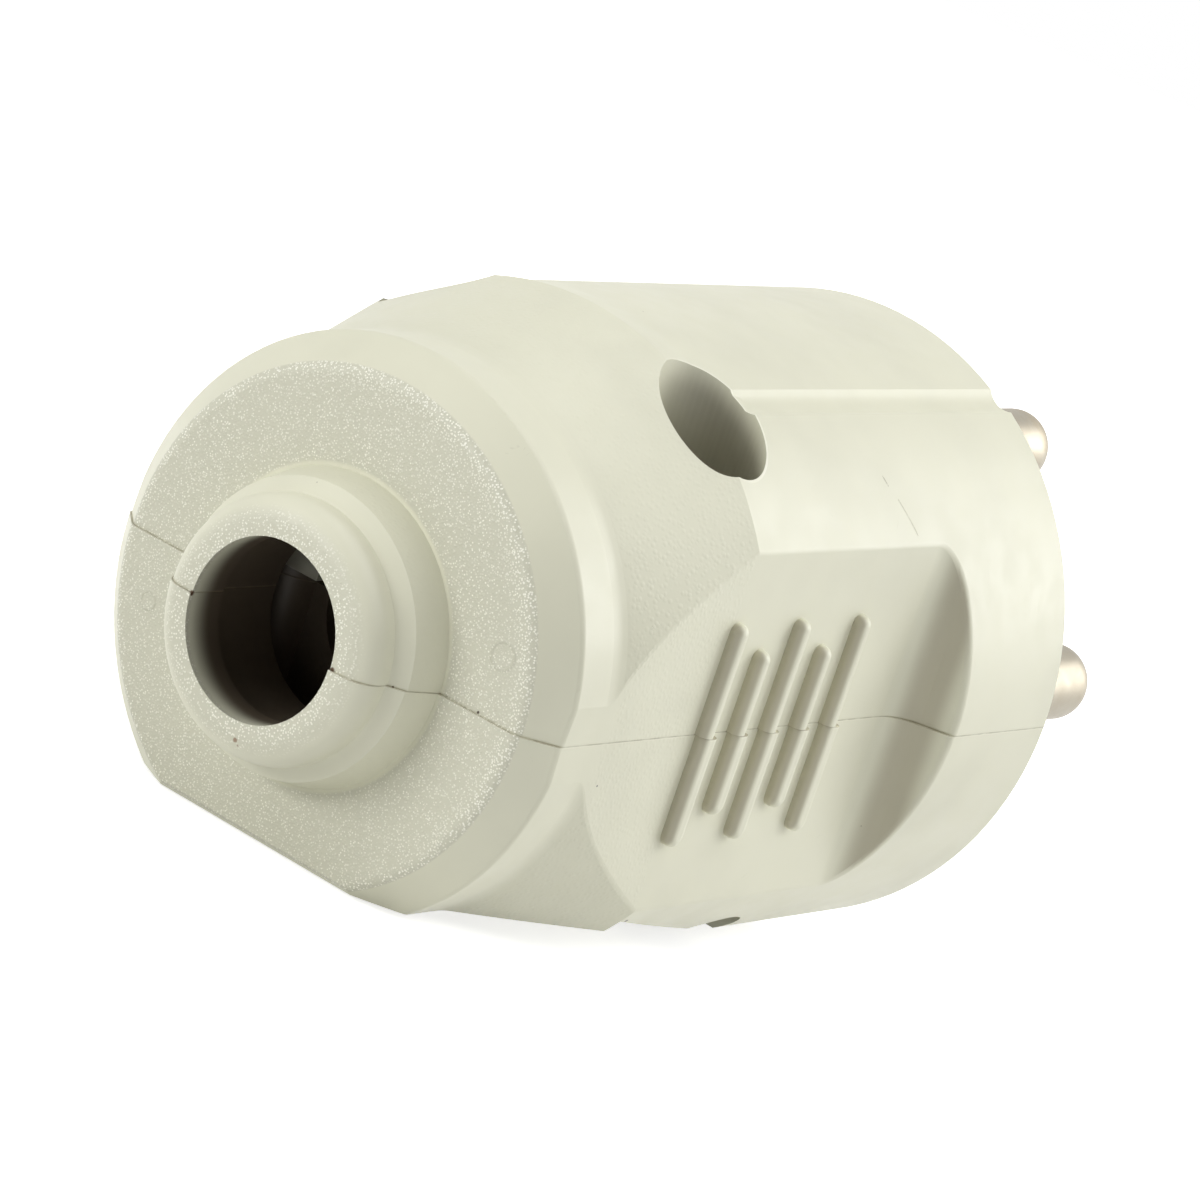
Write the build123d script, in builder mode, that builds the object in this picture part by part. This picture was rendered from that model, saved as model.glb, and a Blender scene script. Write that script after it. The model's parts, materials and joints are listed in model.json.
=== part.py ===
from build123d import *
from math import atan2, degrees, sqrt
import os

# Rewirable three-pin plug with round pins, split in two moulded halves through its own axis.
# While it is modelled, X runs along the axis towards the pin tips, with the front face at x = 0,
# and the halves part at z = 0. At the end every piece is laid down as the plug rests on a table.
# All sizes are in millimetres.

# Body outline, lengths measured from the rear face
body_length = 46.5
barrel_radius = 19.0
collar_radius = 15.9
collar_length = 5.2
cone_crest = 14.4
cone_fillet = 3.2
rim_width = 1.95
rim_round = 0.8
rim_edge = 0.5
front_edge = 0.25
mould_mismatch = 0.15

# Flat and ramp of the underside, depths below the parting plane
flat_depth = 12.5
ramp_step = 0.95
ramp_slope = 0.24
flat_edge = 0.4

# Finger scoops on both sides
scoop_floor = 15.75
scoop_end = 32.9
scoop_radius = 2.5
scoop_angle = 63.0
scoop_edge = 0.5

# Raised grip ribs on the scoop floors
rib_count = 5
rib_first_upper = 14.65
rib_first_lower = 15.05
rib_pitch = 3.08
rib_long = 13.2
rib_short = 9.8
rib_height = 0.75
rib_root = 1.0
rib_width_upper = 1.1
rib_width_lower = 1.35
rib_edge = 0.5

# Label panel on top, between two shallow grooves
panel_half_width = 8.1
panel_depth = 0.2
panel_run_in = 5.0
groove_middle = 9.1
groove_outer = 9.9
groove_depth = 0.42

# Neck with the cord entry
neck_length = 5.0
neck_root_radius = 8.65
neck_step_radius = 8.15
neck_step = 2.2
neck_ring_radius = 7.3
neck_ring_step = 2.9
neck_face_radius = 5.7
neck_round = 1.6
entry_radius = 5.0
entry_lip = 2.6
entry_relief = 5.35

# Walls
wall = 2.2
front_wall = 4.0
rear_wall = 2.5

# Casing screws, bosses and nuts, the rear pair placed from the rear face and the front pair
# from the front face
rear_screw_place = 15.4
rear_screw_offset = 9.6
front_screw_place = 18.0
front_screw_offset = 10.0
well_radius = 3.5
well_wall = 1.2
seat_height = 6.0
screw_radius = 1.75
screw_reach = 6.5
head_radius = 3.05
head_height = 2.2
slot_width = 0.9
slot_depth = 1.0
cross_span = 1.2
head_edge = 0.5
nut_flats = 6.0
nut_height = 2.4
nut_cover = 0.4

# Pins and their terminals
pin_radius = 2.4
pin_root_radius = 2.7
root_recess = 0.3
root_ring = 0.5
power_pin_length = 19.0
earth_pin_length = 21.4
pin_tip_round = 2.0
power_pin_offset = 9.5
power_pin_drop = 2.15
earth_pin_rise = 9.74
block_length = 8.0
block_width = 7.0
block_back = 3.0
block_face = 2.4
block_edge = 0.4
nest_wall = 1.3
nest_cover = 1.2
plate_length = 7.0
plate_thickness = 0.8
plate_lip = 0.7
terminal_screw_radius = 1.75
terminal_screw_depth = 4.2
terminal_head_height = 2.0

# Cord clamp
clamp_place = 7.1
clamp_width = 5.0
clamp_thickness = 2.4
clamp_arch = 4.4
clamp_screw_offset = 8.0
clamp_screw_radius = 1.5
clamp_screw_depth = 6.0
clamp_head_radius = 2.6
clamp_head_height = 1.9
clamp_post_radius = 2.7
clamp_post_rise = 0.6
saddle_width = 1.8
grip_ridge = 0.5
grip_ridge_width = 1.0

# Clearances
slide_gap = 0.05
seat_gap = 0.1
thread_gap = 0.02
hole_gap = 0.25

# Worked out from the sizes above
rear_x = -body_length
boss_radius = well_radius + well_wall
screw_length = seat_height + screw_reach
reach = 2 * barrel_radius
terminal_x = -front_wall - block_length / 2
clamp_x = rear_x + clamp_place
terminal_head_radius = plate_length / 2 - plate_thickness - seat_gap

rear_screws = [(rear_x + rear_screw_place, side * rear_screw_offset) for side in (-1, 1)]
front_screws = [(-front_screw_place, side * front_screw_offset) for side in (-1, 1)]
clamp_screws = [(clamp_x, side * clamp_screw_offset) for side in (-1, 1)]

# Each pin's place across the plug, its length, and the side on which its wire is clamped
pins = {
    "live": (power_pin_offset, -power_pin_drop, power_pin_length, 1),
    "neutral": (-power_pin_offset, -power_pin_drop, power_pin_length, 1),
    "earth": (0.0, earth_pin_rise, earth_pin_length, -1),
}


# Cutter for both finger scoops, grown into the body by the inset
def scoop_cutter(back_x, inset=0.0):
    with BuildPart() as cutter:
        with BuildSketch(Plane.XY):
            with BuildLine():
                floor = Line((back_x - reach, scoop_floor), (back_x + scoop_end, scoop_floor))
                rise = JernArc(floor @ 1, floor % 1, scoop_radius, scoop_angle)
                flank = PolarLine(rise @ 1, reach, direction=rise % 1)
                Polyline(flank @ 1, (back_x - reach, (flank @ 1).Y), floor @ 0)
            make_face()
            if inset > 0:
                offset(amount=inset, kind=Kind.ARC)
            mirror(about=Plane.XZ)
        extrude(amount=reach, both=True)
    return cutter.part


# Cutter for the flat and the ramp of the underside, grown into the body by the inset
def base_cutter(back_x, inset=0.0):
    crest_x = back_x + cone_crest
    ramp_drop = ramp_slope * (reach - crest_x)
    with BuildPart() as cutter:
        with BuildSketch(Plane.XZ):
            with BuildLine():
                Polyline(
                    (back_x - flat_edge, 2 * flat_edge - flat_depth),
                    (back_x + flat_edge, -flat_depth),
                    (crest_x, -flat_depth),
                    (crest_x, ramp_step - flat_depth),
                    (reach, ramp_step - flat_depth - ramp_drop),
                    (reach, -flat_depth - reach),
                    (back_x - flat_edge, -flat_depth - reach),
                    close=True,
                )
            make_face()
            if inset > 0:
                offset(amount=inset, kind=Kind.ARC)
        extrude(amount=reach, both=True)
    return cutter.part


# Cutter for the label panel and its two edge grooves, which run out into the cone's crest
def panel_cutter(back_x):
    def on_circle(y, depth):
        return (y, sqrt((barrel_radius - depth) ** 2 - y ** 2))

    crest_x = back_x + cone_crest
    with BuildPart() as cutter:
        with BuildSketch(Plane.YZ.offset(crest_x)):
            with BuildLine():
                panel = ThreePointArc(
                    on_circle(-panel_half_width, panel_depth),
                    (0, barrel_radius - panel_depth),
                    on_circle(panel_half_width, panel_depth),
                )
                right = ThreePointArc(
                    panel @ 1, on_circle(groove_middle, groove_depth), on_circle(groove_outer, 0)
                )
                left = ThreePointArc(
                    panel @ 0, on_circle(-groove_middle, groove_depth), on_circle(-groove_outer, 0)
                )
                Polyline(right @ 1, (groove_outer, reach), (-groove_outer, reach), left @ 1)
            make_face()
        extrude(amount=body_length)
        with BuildSketch(Plane.XZ):
            with BuildLine():
                Polyline(
                    (crest_x - panel_run_in, 0),
                    (crest_x - panel_run_in, barrel_radius),
                    (crest_x, barrel_radius),
                    (crest_x + panel_run_in, barrel_radius - groove_depth),
                    (crest_x + panel_run_in, 0),
                    close=True,
                )
            make_face()
        revolve(axis=Axis.X, mode=Mode.SUBTRACT)
    return cutter.part


# Whole body without its hollow: collar, cone, barrel, neck, flat, ramp, scoops and label panel
def outer_form(back_x):
    with BuildPart() as form:
        corners = [
            ((back_x, collar_radius - rim_width), rim_round),
            ((back_x + rim_width, collar_radius), rim_edge),
            ((back_x + collar_length, collar_radius), cone_fillet),
        ]
        with BuildSketch(Plane.XZ) as outline:
            with BuildLine():
                Polyline(
                    (back_x, 0),
                    *[corner for corner, radius in corners],
                    (back_x + cone_crest, barrel_radius),
                    (0, barrel_radius),
                    (0, 0),
                    close=True,
                )
            make_face()
            for corner, radius in corners:
                fillet(outline.vertices().sort_by_distance(corner)[0], radius=radius)
        revolve(axis=Axis.X)
        add(base_cutter(back_x), mode=Mode.SUBTRACT)
        add(scoop_cutter(back_x), mode=Mode.SUBTRACT)
        add(panel_cutter(back_x), mode=Mode.SUBTRACT)
        chamfer(form.faces().sort_by(Axis.X)[-1].edges(), front_edge)
        floor_edges = form.faces().filter_by(Axis.Y).edges()
        fillet(floor_edges - floor_edges.filter_by(Axis.Z), radius=scoop_edge)
    return form.part


# Neck as a turned form, filled down to the axis
def neck_form(back_x):
    with BuildPart() as neck:
        with BuildSketch(Plane.XZ) as outline:
            end_x = back_x - neck_length
            with BuildLine():
                face = Line((end_x, 0), (end_x, neck_face_radius))
                nose = TangentArc(
                    face @ 1, (end_x + neck_round, neck_ring_radius), tangent=(0, 1)
                )
                Polyline(
                    nose @ 1,
                    (back_x - neck_ring_step, neck_ring_radius),
                    (back_x - neck_step, neck_step_radius),
                    (back_x, neck_root_radius),
                    (back_x + rear_wall, neck_root_radius),
                    (back_x + rear_wall, 0),
                    face @ 0,
                )
            make_face()
        revolve(axis=Axis.X)
    return neck.part


# Hollow inside the walls
def chamber_form():
    with BuildPart() as chamber:
        with BuildSketch(Plane.XZ):
            with BuildLine():
                Polyline(
                    (rear_x + rear_wall, 0),
                    (rear_x + rear_wall, collar_radius - wall),
                    (rear_x + collar_length, collar_radius - wall),
                    (rear_x + cone_crest, barrel_radius - wall),
                    (-front_wall, barrel_radius - wall),
                    (-front_wall, 0),
                    close=True,
                )
            make_face()
        revolve(axis=Axis.X)
        add(base_cutter(rear_x, wall), mode=Mode.SUBTRACT)
        add(scoop_cutter(rear_x, wall), mode=Mode.SUBTRACT)
    return chamber.part


# Five raised ribs on each scoop floor, long and short in turn, rooted in the wall
def grip_ribs(first_x, rib_width):
    with BuildPart() as ribs:
        for side in (-1, 1):
            root = Plane(
                (0, side * (scoop_floor - rib_root), 0), x_dir=(1, 0, 0), z_dir=(0, side, 0)
            )
            with BuildSketch(root):
                for index in range(rib_count):
                    length = rib_short if index % 2 else rib_long
                    with Locations((first_x + index * rib_pitch, 0)):
                        SlotOverall(length, rib_width, rotation=90)
            extrude(amount=rib_root + rib_height)
        crowns = ribs.faces().filter_by(Axis.Y).group_by(Axis.Y)
        fillet(crowns[0].edges() + crowns[-1].edges(), radius=rib_edge)
    return ribs.part


# Room of a pin's terminal block, open towards the parting plane
def block_room(y, z, clamp_side):
    back = z - clamp_side * (block_back + seat_gap)
    with BuildPart() as room:
        with Locations((terminal_x, y, back + clamp_side * reach / 4)):
            Box(block_length + 2 * seat_gap, block_width + 2 * seat_gap, reach / 2)
    return room.part


# Hollow of one half, with its bosses, nests and posts left standing: side is 1 for the upper half
def half_hollow(side):
    nest_margin = 2 * (seat_gap + nest_wall)
    with BuildPart() as hollow:
        add(chamber_form())
        with Locations(*[(x, y, side * reach / 2) for x, y in rear_screws + front_screws]):
            Cylinder(boss_radius, reach, mode=Mode.SUBTRACT)
        for y, z, length, clamp_side in pins.values():
            if clamp_side == -side:
                nest_edge = z + clamp_side * (block_face - nest_cover)
                with Locations((terminal_x, y, nest_edge + side * reach / 2)):
                    Box(
                        block_length + nest_margin,
                        block_width + nest_margin,
                        reach,
                        mode=Mode.SUBTRACT,
                    )
        if side < 0:
            with Locations(*[(x, y, side * reach / 2) for x, y in clamp_screws]):
                Cylinder(clamp_post_radius, reach, mode=Mode.SUBTRACT)
            with BuildSketch(Plane.YZ.offset(clamp_x - saddle_width / 2)):
                with Locations((0, -reach / 2)):
                    Rectangle(2 * clamp_screw_offset, reach)
                Circle(clamp_arch, mode=Mode.SUBTRACT)
            extrude(amount=saddle_width, mode=Mode.SUBTRACT)
    return hollow.part


# Wells, screw holes, nut pockets, pin holes and the cord entry, cut in one half
def half_cuts(side, well_places, nut_places):
    with BuildPart() as cuts:
        with Locations(*[(x, y, side * (seat_height + reach / 2)) for x, y in well_places]):
            Cylinder(well_radius, reach)
        with Locations(*[(x, y, side * seat_height / 2) for x, y in well_places]):
            Cylinder(screw_radius + hole_gap, seat_height)
        with Locations(*[(x, y, side * (screw_reach + seat_gap) / 2) for x, y in nut_places]):
            Cylinder(screw_radius + hole_gap, screw_reach + seat_gap)
        with BuildSketch(Plane.XY):
            with Locations(*nut_places):
                RegularPolygon(nut_flats / 2 + seat_gap, 6, major_radius=False)
        extrude(amount=side * (nut_height + nut_cover))
        for y, z, length, clamp_side in pins.values():
            with Locations(Location((-front_wall / 2, y, z), (0, 90, 0))):
                Cylinder(pin_root_radius + slide_gap, front_wall)
            with Locations(Location((-root_recess / 2, y, z), (0, 90, 0))):
                Cylinder(pin_root_radius + root_ring, root_recess)
            if clamp_side == -side:
                add(block_room(y, z, clamp_side))
        with BuildSketch(Plane.XZ):
            end_x = rear_x - neck_length
            with BuildLine():
                Polyline(
                    (end_x - wall, 0),
                    (end_x - wall, entry_radius),
                    (end_x + entry_lip, entry_radius),
                    (end_x + entry_lip, entry_relief),
                    (rear_x + rear_wall, entry_relief),
                    (rear_x + rear_wall, 0),
                    close=True,
                )
            make_face()
        revolve(axis=Axis.X)
    return cuts.part


# Pin turned from round bar, with a squared terminal block behind the front wall
def terminal_pin(y, z, length, clamp_side):
    pin_axis = Plane((0, y, z), x_dir=(1, 0, 0), z_dir=(0, -1, 0))
    with BuildPart() as pin:
        with Locations((terminal_x, y, z + clamp_side * (block_face - block_back) / 2)):
            Box(block_length, block_width, block_face + block_back)
        chamfer(pin.edges().filter_by(Axis.X), block_edge)
        with BuildSketch(pin_axis):
            with BuildLine():
                root = Polyline(
                    (-front_wall - block_edge, 0),
                    (-front_wall - block_edge, pin_root_radius),
                    (-root_recess, pin_root_radius),
                    (-root_recess, pin_radius),
                    (length - pin_tip_round, pin_radius),
                )
                tip = TangentArc(
                    root @ 1, (length, pin_radius - pin_tip_round), tangent=(1, 0)
                )
                Polyline(tip @ 1, (length, 0), root @ 0)
            make_face()
        revolve(axis=Axis((0, y, z), (1, 0, 0)))
        thread_depth = terminal_screw_depth + seat_gap
        with Locations((terminal_x, y, z + clamp_side * (block_face - thread_depth / 2))):
            Cylinder(terminal_screw_radius + thread_gap, thread_depth, mode=Mode.SUBTRACT)
    return pin


# Clamp plate under a terminal screw, with two turned-up lips that hold the wire
def terminal_plate(y, z, clamp_side):
    seat = Plane(
        (terminal_x, y, z + clamp_side * block_face), x_dir=(1, 0, 0), z_dir=(0, 0, clamp_side)
    )
    with BuildPart() as plate:
        with BuildSketch(seat):
            RectangleRounded(plate_length, plate_length, block_edge)
            Circle(terminal_screw_radius + slide_gap, mode=Mode.SUBTRACT)
        extrude(amount=plate_thickness)
        with BuildSketch(seat):
            with GridLocations(0, plate_length - plate_thickness, 1, 2):
                Rectangle(plate_length - 2 * block_edge, plate_thickness)
        extrude(amount=plate_thickness + plate_lip)
    return plate


# Cheese-head screw with a slot, or a cross, in its rounded head
def screw(place, side, shaft_radius, shaft_length, top_radius, top_height, crossed):
    seat = Plane(place, x_dir=(1, 0, 0), z_dir=(0, 0, side))
    screw_axis = Axis(place, (0, 0, side))
    with BuildPart() as fastener:
        with BuildSketch(seat):
            Circle(top_radius)
        extrude(amount=top_height)
        fillet(fastener.faces().sort_by(screw_axis)[-1].edges(), radius=head_edge)
        with BuildSketch(seat):
            Circle(shaft_radius)
        extrude(amount=-shaft_length)
        chamfer(fastener.faces().sort_by(screw_axis)[0].edges(), head_edge)
        with BuildSketch(seat.offset(top_height)):
            if crossed:
                Rectangle(cross_span * top_radius, slot_width)
                Rectangle(slot_width, cross_span * top_radius)
            else:
                Rectangle(2 * top_radius, slot_width)
        extrude(amount=-slot_depth, mode=Mode.SUBTRACT)
    return fastener


# Hexagon nut that lies at the bottom of its pocket
def casing_nut(x, y, side):
    with BuildPart() as nut:
        with BuildSketch(Plane((x, y, side * nut_cover), x_dir=(1, 0, 0), z_dir=(0, 0, side))):
            RegularPolygon(nut_flats / 2, 6, major_radius=False)
            Circle(screw_radius + thread_gap, mode=Mode.SUBTRACT)
        extrude(amount=nut_height)
    return nut


# Upper half: wells of the rear screws, nut bosses for the front ones, nest of the earth pin
with BuildPart() as upper_shell:
    add(outer_form(rear_x))
    add(neck_form(rear_x))
    add(grip_ribs(rear_x + rib_first_upper, rib_width_upper))
    add(half_hollow(1), mode=Mode.SUBTRACT)
    split(bisect_by=Plane.XY, keep=Keep.TOP)
    add(half_cuts(1, rear_screws, front_screws), mode=Mode.SUBTRACT)

# Lower half: nut bosses for the rear screws, wells of the front ones, nests of the power pins,
# and the saddle and posts of the cord clamp. It stands proud of the upper half at the rear.
lower_rear_x = rear_x - mould_mismatch
with BuildPart() as lower_shell:
    add(outer_form(lower_rear_x))
    add(neck_form(lower_rear_x))
    add(grip_ribs(lower_rear_x + rib_first_lower, rib_width_lower))
    add(half_hollow(-1), mode=Mode.SUBTRACT)
    split(bisect_by=Plane.XY, keep=Keep.BOTTOM)
    add(half_cuts(-1, front_screws, rear_screws), mode=Mode.SUBTRACT)
    with Locations(*[(x, y, clamp_post_rise / 2) for x, y in clamp_screws]):
        Cylinder(clamp_post_radius, clamp_post_rise)
    post_hole = clamp_post_rise + clamp_screw_depth
    with Locations(*[(x, y, clamp_post_rise - post_hole / 2) for x, y in clamp_screws]):
        Cylinder(clamp_screw_radius + thread_gap, post_hole, mode=Mode.SUBTRACT)

# Bar that clamps the cord, arched over it, with one grip ridge inside the arch
with BuildPart() as cord_clamp:
    bar_foot = Plane.YZ.offset(clamp_x - clamp_width / 2)
    with BuildSketch(bar_foot):
        with Locations((0, clamp_post_rise)):
            Rectangle(
                2 * (clamp_screw_offset + clamp_post_radius),
                clamp_thickness,
                align=(Align.CENTER, Align.MIN),
            )
            Circle(clamp_arch + clamp_thickness)
            Circle(clamp_arch, mode=Mode.SUBTRACT)
            Rectangle(reach, reach, align=(Align.CENTER, Align.MAX), mode=Mode.SUBTRACT)
    extrude(amount=clamp_width)
    with BuildSketch(bar_foot.offset((clamp_width - grip_ridge_width) / 2)):
        with Locations((0, clamp_post_rise)):
            Circle(clamp_arch + clamp_thickness / 2)
            Circle(clamp_arch - grip_ridge, mode=Mode.SUBTRACT)
            Rectangle(reach, reach, align=(Align.CENTER, Align.MAX), mode=Mode.SUBTRACT)
    extrude(amount=grip_ridge_width)
    with Locations(*[(x, y, clamp_post_rise + clamp_thickness / 2) for x, y in clamp_screws]):
        Cylinder(clamp_screw_radius + slide_gap, clamp_thickness, mode=Mode.SUBTRACT)
    with BuildSketch(Plane.XY.offset(clamp_post_rise + clamp_thickness)):
        with Locations(*clamp_screws):
            Circle(clamp_head_radius + seat_gap)
    extrude(amount=reach, mode=Mode.SUBTRACT)

# Pins with their plates and screws, named by the wire that each takes
pieces = {"upper_shell": upper_shell, "lower_shell": lower_shell, "cord_clamp": cord_clamp}
for wire, (y, z, length, clamp_side) in pins.items():
    plate_top = z + clamp_side * (block_face + plate_thickness)
    pieces[f"{wire}_pin"] = terminal_pin(y, z, length, clamp_side)
    pieces[f"{wire}_clamp_plate"] = terminal_plate(y, z, clamp_side)
    pieces[f"{wire}_terminal_screw"] = screw(
        (terminal_x, y, plate_top),
        clamp_side,
        terminal_screw_radius,
        plate_thickness + terminal_screw_depth,
        terminal_head_radius,
        terminal_head_height,
        crossed=False,
    )

# Casing screws: the rear pair goes down from the top, the front pair up from below
for row, side, places in (("rear", 1, rear_screws), ("front", -1, front_screws)):
    for hand, (x, y) in zip(("right", "left"), places):
        pieces[f"{row}_{hand}_casing_screw"] = screw(
            (x, y, side * seat_height), side, screw_radius, screw_length, head_radius,
            head_height, crossed=True,
        )
        pieces[f"{row}_{hand}_casing_nut"] = casing_nut(x, y, -side)

# Cord clamp screws, which cut their own thread in the posts
for hand, (x, y) in zip(("right", "left"), clamp_screws):
    pieces[f"{hand}_clamp_screw"] = screw(
        (x, y, clamp_post_rise + clamp_thickness), 1, clamp_screw_radius,
        clamp_thickness + clamp_screw_depth - seat_gap, clamp_head_radius, clamp_head_height,
        crossed=True,
    )

# The plug rests on the rear edge of its flat and on the rim of its front face
contact_run = body_length + mould_mismatch - flat_edge - front_edge
lie_angle = degrees(atan2(barrel_radius - flat_depth, contact_run))
lie_down = Rotation(0, -lie_angle, 0)

os.makedirs("parts", exist_ok=True)
for name, piece in pieces.items():
    piece.part = lie_down * piece.part
    piece.part.label = name
    export_step(piece.part, f"parts/{name}.step")
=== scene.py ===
"""Three-pin rewirable plug with round pins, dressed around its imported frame.

The halves of the casing get their moulded grain, parting line and handling marks, the pins
and the fasteners their metal finishes, and the studio its table, lamps and camera.
Places are given in the plug's own axes, in millimetres: X runs along the plug to the
tips of its pins, with the front face at 0, and the halves of the casing part at Z 0.
"""

import json
import logging
import math
from dataclasses import dataclass, field
from enum import Enum
from typing import Sequence, Union

import bmesh
import bpy
from mathutils import Matrix, Vector


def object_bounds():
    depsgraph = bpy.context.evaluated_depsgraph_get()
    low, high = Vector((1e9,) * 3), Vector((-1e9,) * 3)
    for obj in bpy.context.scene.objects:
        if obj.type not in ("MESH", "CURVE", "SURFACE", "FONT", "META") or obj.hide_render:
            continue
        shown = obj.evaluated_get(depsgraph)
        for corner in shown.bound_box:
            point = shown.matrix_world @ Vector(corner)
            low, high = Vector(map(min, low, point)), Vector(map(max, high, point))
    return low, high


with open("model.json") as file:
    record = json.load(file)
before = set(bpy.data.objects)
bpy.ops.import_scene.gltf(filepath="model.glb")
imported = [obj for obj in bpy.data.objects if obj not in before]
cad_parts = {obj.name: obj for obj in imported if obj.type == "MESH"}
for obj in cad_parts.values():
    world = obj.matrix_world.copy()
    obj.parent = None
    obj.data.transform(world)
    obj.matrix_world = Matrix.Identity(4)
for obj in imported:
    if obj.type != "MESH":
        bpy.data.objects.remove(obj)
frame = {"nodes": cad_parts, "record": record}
cad_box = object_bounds()

log = logging.getLogger("plug")

MM = 0.001

Point = tuple[float, float, float]
Span = tuple[float, float]
Levels = tuple[int, int, int]
Value = Union[float, Sequence[float], bpy.types.NodeSocket]
Socket = bpy.types.NodeSocket


def plug_lie() -> float:
    """Finds how far the plug's own axis rises above the table's X axis.

    Returns:
        The angle in radians, read from the axis of the engagement face.
    """
    mounts = {mount["name"]: mount for mount in frame["record"]["mounts"]}
    axis = Vector(mounts["engagement_face"]["axis"])
    return math.atan2(axis.z, axis.x)


LIE = plug_lie()
TO_ROW = Matrix.Rotation(-LIE, 4, "Y") @ Matrix.Scale(MM, 4)

WHITE = (1.0, 1.0, 1.0, 1.0)

# Axes of the screw wells, along and across the plug
REAR_WELLS = ((-31.1, -9.6), (-31.1, 9.6))
FRONT_WELLS = ((-18.0, -10.0), (-18.0, 10.0))


def from_srgb(levels: Levels) -> tuple[float, float, float, float]:
    """Turns a colour read as 0 to 255 into the linear colour that a shader takes.

    Args:
        levels: Red, green and blue.

    Returns:
        Linear red, green and blue, and an alpha of 1.
    """
    parts = [level / 255 for level in levels]
    linear = [v / 12.92 if v <= 0.04045 else ((v + 0.055) / 1.055) ** 2.4 for v in parts]
    return (*linear, 1.0)


class Bench:
    """Places shader nodes in one tree and joins them up."""

    def __init__(self, tree: bpy.types.NodeTree) -> None:
        """Keeps the tree to work on.

        Args:
            tree: Node tree of a material or a group.
        """
        self.tree = tree

    def put(self, kind: str, **settings: object) -> bpy.types.Node:
        """Adds one node.

        Args:
            kind: Type name of the node.
            settings: Properties to set on it.

        Returns:
            The node.
        """
        node = self.tree.nodes.new(kind)
        for name, value in settings.items():
            setattr(node, name, value)
        return node

    def feed(self, socket: Socket, value: Value) -> None:
        """Links a socket to an input, or sets a constant on it.

        Args:
            socket: Input to feed.
            value: Socket or constant.
        """
        if isinstance(value, bpy.types.NodeSocket):
            self.tree.links.new(value, socket)
        else:
            socket.default_value = value

    def math(self, operation: str, *values: Value) -> Socket:
        """Works out one sum.

        Args:
            operation: Name of the Math node's operation.
            values: Its inputs, in order.

        Returns:
            The result.
        """
        node = self.put("ShaderNodeMath", operation=operation)
        for socket, value in zip(node.inputs, values):
            self.feed(socket, value)
        return node.outputs["Value"]

    def vector(self, operation: str, *values: Value) -> bpy.types.Node:
        """Adds one Vector Math node.

        Args:
            operation: Name of its operation.
            values: Its inputs, in order.

        Returns:
            The node.
        """
        node = self.put("ShaderNodeVectorMath", operation=operation)
        for socket, value in zip(node.inputs, values):
            self.feed(socket, value)
        return node

    def slope(self, value: Value, start: float, end: float, low: float, high: float) -> Socket:
        """Goes smoothly from one level to another between two values.

        Args:
            value: What is measured.
            start: Value where the change starts.
            end: Value where it ends, above the start.
            low: Level below the start.
            high: Level above the end.

        Returns:
            The level.
        """
        node = self.put("ShaderNodeMapRange", interpolation_type="SMOOTHSTEP")
        names = ("Value", "From Min", "From Max", "To Min", "To Max")
        for name, given in zip(names, (value, start, end, low, high)):
            self.feed(node.inputs[name], given)
        return node.outputs["Result"]

    def rise(self, value: Value, start: float, end: float) -> Socket:
        """Gives 0 below the start and 1 above the end."""
        return self.slope(value, start, end, 0.0, 1.0)

    def fall(self, value: Value, start: float, end: float) -> Socket:
        """Gives 1 below the start and 0 above the end."""
        return self.slope(value, start, end, 1.0, 0.0)

    def times(self, *values: Value) -> Socket:
        """Multiplies values.

        Args:
            values: Two values or more.

        Returns:
            Their product.
        """
        product = values[0]
        for value in values[1:]:
            product = self.math("MULTIPLY", product, value)
        return product

    def most(self, *values: Value) -> Socket:
        """Picks the greatest value.

        Args:
            values: Two values or more.

        Returns:
            The greatest.
        """
        greatest = values[0]
        for value in values[1:]:
            greatest = self.math("MAXIMUM", greatest, value)
        return greatest

    def mix(self, share: Value, first: Value, second: Value) -> Socket:
        """Mixes two colours.

        Args:
            share: Share of the second colour.
            first: First colour.
            second: Second colour.

        Returns:
            The mixed colour.
        """
        node = self.put("ShaderNodeMix", data_type="RGBA", clamp_factor=True)
        for number, value in ((0, share), (6, first), (7, second)):
            self.feed(node.inputs[number], value)
        return node.outputs[2]

    def noise(self, place: Socket, scale: float, detail: float = 2.0, rough: float = 0.5) -> Socket:
        """Gives soft noise between 0 and 1.

        Args:
            place: Place in millimetres.
            scale: Features per millimetre.
            detail: Number of finer layers.
            rough: Strength of the finer layers.

        Returns:
            The noise.
        """
        node = self.put("ShaderNodeTexNoise")
        names = ("Vector", "Scale", "Detail", "Roughness")
        for name, value in zip(names, (place, scale, detail, rough)):
            self.feed(node.inputs[name], value)
        return node.outputs["Fac"]

    def split(self, vector: Socket) -> tuple[Socket, Socket, Socket]:
        """Splits a vector.

        Args:
            vector: The vector.

        Returns:
            Its X, Y and Z.
        """
        node = self.put("ShaderNodeSeparateXYZ")
        self.feed(node.inputs["Vector"], vector)
        return node.outputs["X"], node.outputs["Y"], node.outputs["Z"]

    def off(self, value: Value, middle: float) -> Socket:
        """Measures how far a value is from a middle, either way."""
        return self.math("ABSOLUTE", self.math("SUBTRACT", value, middle))

    def away(self, place: Socket, point: Point) -> Socket:
        """Measures the distance from a point.

        Args:
            place: Place in millimetres.
            point: The point, in millimetres.

        Returns:
            The distance in millimetres.
        """
        return self.vector("DISTANCE", place, point).outputs["Value"]

    def from_upright(self, place: Socket, axis: Span) -> Socket:
        """Measures the distance from an upright line.

        Args:
            place: Place in millimetres.
            axis: Where the line stands, along and across the plug.

        Returns:
            The distance in millimetres.
        """
        shift = self.vector("SUBTRACT", place, (*axis, 0.0)).outputs["Vector"]
        level = self.vector("MULTIPLY", shift, (1.0, 1.0, 0.0)).outputs["Vector"]
        return self.vector("LENGTH", level).outputs["Value"]

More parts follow.
